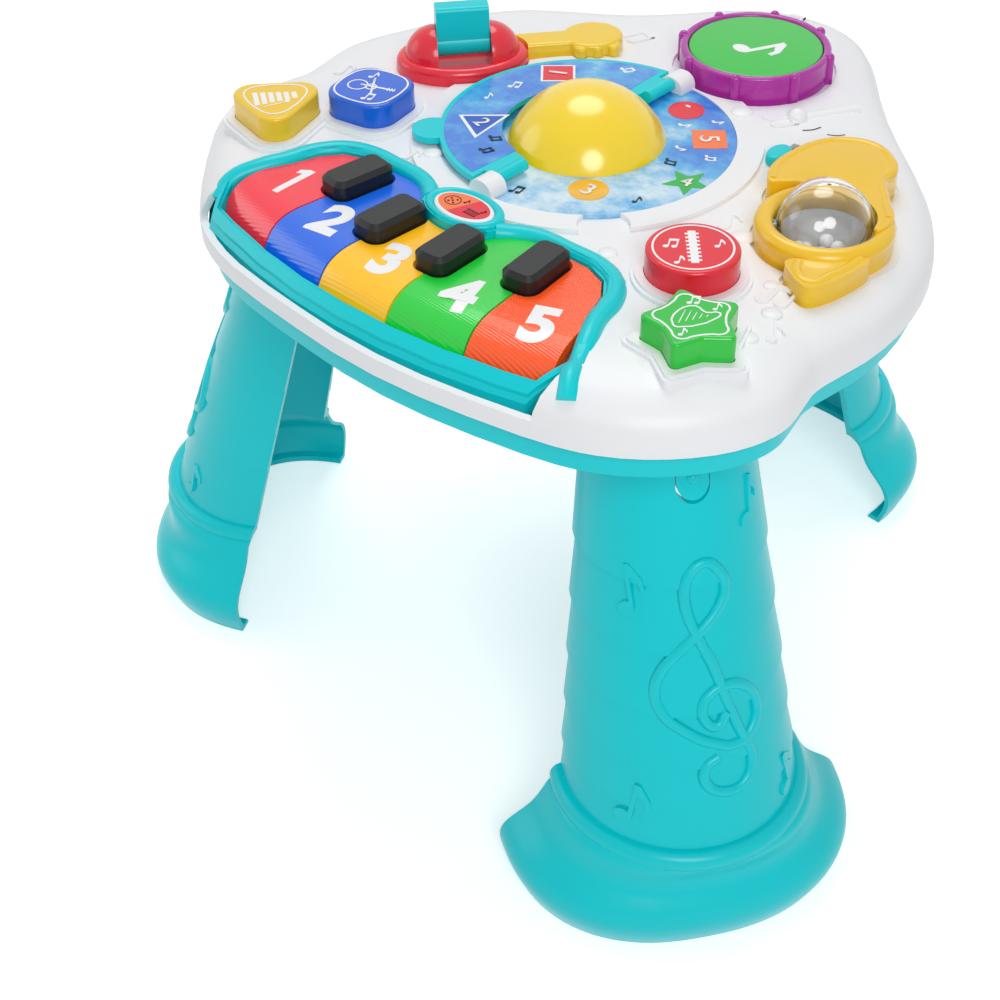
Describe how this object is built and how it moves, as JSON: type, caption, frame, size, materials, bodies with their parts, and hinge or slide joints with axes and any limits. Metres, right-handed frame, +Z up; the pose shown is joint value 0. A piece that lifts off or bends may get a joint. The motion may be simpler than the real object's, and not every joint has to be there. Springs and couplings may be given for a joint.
{
  "type": "musical activity table",
  "caption": "Low three-legged play table with a keyboard, push buttons, a drum, a strum paddle, a rattle ball, a flip page and a domed light on a white top.",
  "frame": {"origin": "centre of the overall box at floor level", "axes": "+Z up from the floor; +X to the player's right; the player sits at -Y, by the keyboard"},
  "size_m": [0.5084, 0.4716, 0.356],
  "materials": {
    "top_panel": "satin moulded white",
    "lower_housing": "satin moulded teal",
    "keyboard_frame": "glossy teal",
    "key_bed": "moulded",
    "key_axle": "drawn rod",
    "key_pads": "soft rubber",
    "key_1": "glossy translucent red",
    "key_2": "glossy translucent blue",
    "key_3": "glossy translucent yellow",
    "key_4": "glossy translucent green",
    "key_5": "glossy translucent orange",
    "black_keys": "glossy black",
    "mode_rocker": "glossy with a plain coloured inlay",
    "disc_base": "printed blue",
    "flip_page": "printed blue leaf with a teal rim",
    "dome_lens": "translucent yellow",
    "lamp_board": "board",
    "dome_lamps": "clear lamp",
    "red_button": "glossy red",
    "star_button": "glossy green",
    "blue_button": "glossy blue",
    "yellow_button": "glossy yellow",
    "button_pads": "soft rubber",
    "drum_rim": "glossy purple",
    "drum_head": "satin green",
    "guitar_body": "glossy red",
    "guitar_neck": "glossy yellow",
    "strum_paddle": "glossy teal",
    "strum_axle": "drawn rod",
    "horn_body": "glossy yellow",
    "ball_shell": "clear moulded shell",
    "ball_beads": "small beads",
    "volume_slider": "glossy teal",
    "speaker": "metal basket and cone",
    "circuit_board": "board",
    "battery_cells": "plain sleeve",
    "battery_contacts": "plated",
    "battery_door": "satin teal",
    "screws": "plated steel",
    "legs": "satin moulded teal"
  },
  "bodies": {
    "table": {"battery_cells": "battery_cells", "battery_contacts": "battery_contacts", "black_key_1": "black_keys", "black_key_2": "black_keys", "black_key_3": "black_keys", "black_key_4": "black_keys", "button_pads": "button_pads", "circuit_board": "circuit_board", "disc_base": "disc_base", "dome_lamps": "dome_lamps", "dome_lens": "dome_lens", "drum_rim": "drum_rim", "guitar_body": "guitar_body", "guitar_neck": "guitar_neck", "horn_body": "horn_body", "housing_screws": "screws", "key_axle": "key_axle", "key_bed": "key_bed", "key_pads": "key_pads", "keyboard_frame": "keyboard_frame", "lamp_board": "lamp_board", "leg_left": "legs", "leg_rear": "legs", "leg_right": "legs", "lower_housing": "lower_housing", "speaker": "speaker", "strum_axle": "strum_axle", "top_panel": "top_panel"},
    "key_1": {"key_1": "key_1"},
    "key_2": {"key_2": "key_2"},
    "key_3": {"key_3": "key_3"},
    "key_4": {"key_4": "key_4"},
    "key_5": {"key_5": "key_5"},
    "drum_head": {"drum_head": "drum_head"},
    "red_button": {"red_button": "red_button"},
    "star_button": {"star_button": "star_button"},
    "blue_button": {"blue_button": "blue_button"},
    "yellow_button": {"yellow_button": "yellow_button"},
    "mode_rocker": {"mode_rocker": "mode_rocker"},
    "flip_page": {"flip_page": "flip_page"},
    "strum_paddle": {"strum_paddle": "strum_paddle"},
    "volume_slider": {"volume_slider": "volume_slider"},
    "rattle_ball": {"ball_half_front": "ball_shell", "ball_half_back": "ball_shell", "ball_beads": "ball_beads"},
    "latch_left": {"latch_left": "legs"},
    "latch_right": {"latch_right": "legs"},
    "latch_rear": {"latch_rear": "legs"},
    "battery_door": {"battery_door": "battery_door", "door_screw": "screws"}
  },
  "joints": [
    {"name": "key_1_press", "type": "hinge", "parent": "table", "child": "key_1", "pos_m": [-0.07082, -0.13431, 0.3085], "axis": [1, 0, 0], "range_deg": [0, 4], "stiffness_Nm_per_rad": 0.5, "springref_deg": -4.58},
    {"name": "key_2_press", "type": "hinge", "parent": "table", "child": "key_2", "pos_m": [-0.02982, -0.13431, 0.3085], "axis": [1, 0, 0], "range_deg": [0, 4], "stiffness_Nm_per_rad": 0.5, "springref_deg": -4.58},
    {"name": "key_3_press", "type": "hinge", "parent": "table", "child": "key_3", "pos_m": [0.01118, -0.13431, 0.3085], "axis": [1, 0, 0], "range_deg": [0, 4], "stiffness_Nm_per_rad": 0.5, "springref_deg": -4.58},
    {"name": "key_4_press", "type": "hinge", "parent": "table", "child": "key_4", "pos_m": [0.05218, -0.13431, 0.3085], "axis": [1, 0, 0], "range_deg": [0, 4], "stiffness_Nm_per_rad": 0.5, "springref_deg": -4.58},
    {"name": "key_5_press", "type": "hinge", "parent": "table", "child": "key_5", "pos_m": [0.09318, -0.13431, 0.3085], "axis": [1, 0, 0], "range_deg": [0, 4], "stiffness_Nm_per_rad": 0.5, "springref_deg": -4.58},
    {"name": "drum_press", "type": "slide", "parent": "table", "child": "drum_head", "axis": [0, 0, -1], "range_m": [0, 0.0025], "stiffness_N_per_m": 400, "springref_m": -0.004},
    {"name": "red_press", "type": "slide", "parent": "table", "child": "red_button", "axis": [0, 0, -1], "range_m": [0, 0.0035], "stiffness_N_per_m": 500, "springref_m": -0.004},
    {"name": "star_press", "type": "slide", "parent": "table", "child": "star_button", "axis": [0, 0, -1], "range_m": [0, 0.0035], "stiffness_N_per_m": 500, "springref_m": -0.004},
    {"name": "blue_press", "type": "slide", "parent": "table", "child": "blue_button", "axis": [0, 0, -1], "range_m": [0, 0.0035], "stiffness_N_per_m": 500, "springref_m": -0.004},
    {"name": "yellow_press", "type": "slide", "parent": "table", "child": "yellow_button", "axis": [0, 0, -1], "range_m": [0, 0.0035], "stiffness_N_per_m": 500, "springref_m": -0.004},
    {"name": "mode_rock", "type": "hinge", "parent": "table", "child": "mode_rocker", "pos_m": [0.01118, -0.13431, 0.3156], "axis": [0, 1, 0], "range_deg": [-4, 4], "stiffness_Nm_per_rad": 0.05},
    {"name": "page_turn", "type": "hinge", "parent": "table", "child": "flip_page", "pos_m": [0.00418, -0.03731, 0.326], "axis": [0, 1, 0], "range_deg": [0, 180]},
    {"name": "paddle_strum", "type": "hinge", "parent": "table", "child": "strum_paddle", "pos_m": [-0.10232, -0.02031, 0.334], "axis": [0.6293, 0.7771, 0], "range_deg": [-22, 22], "stiffness_Nm_per_rad": 0.03},
    {"name": "volume_slide", "type": "slide", "parent": "table", "child": "volume_slider", "axis": [-0.1219, 0.9925, 0], "range_m": [0, 0.016]},
    {"name": "ball_spin", "type": "hinge", "parent": "table", "child": "rattle_ball", "pos_m": [0.15058, -0.03391, 0.3285], "axis": [0.766, 0.6428, 0], "continuous": true},
    {"name": "latch_left_press", "type": "hinge", "parent": "table", "child": "latch_left", "pos_m": [-0.15585, -0.11885, 0.2696], "axis": [0.454, -0.891, 0], "range_deg": [0, 6], "stiffness_Nm_per_rad": 0.2, "springref_deg": -2.86},
    {"name": "latch_right_press", "type": "hinge", "parent": "table", "child": "latch_right", "pos_m": [0.1548, -0.13513, 0.2696], "axis": [0.5446, 0.8387, 0], "range_deg": [0, 6], "stiffness_Nm_per_rad": 0.2, "springref_deg": -2.86},
    {"name": "latch_rear_press", "type": "hinge", "parent": "table", "child": "latch_rear", "pos_m": [0.01358, 0.14204, 0.2696], "axis": [-0.9986, 0.0523, 0], "range_deg": [0, 6], "stiffness_Nm_per_rad": 0.2, "springref_deg": -2.86},
    {"name": "door_off", "type": "slide", "parent": "table", "child": "battery_door", "axis": [0, 0, -1], "range_m": [0, 0.04]}
  ]
}
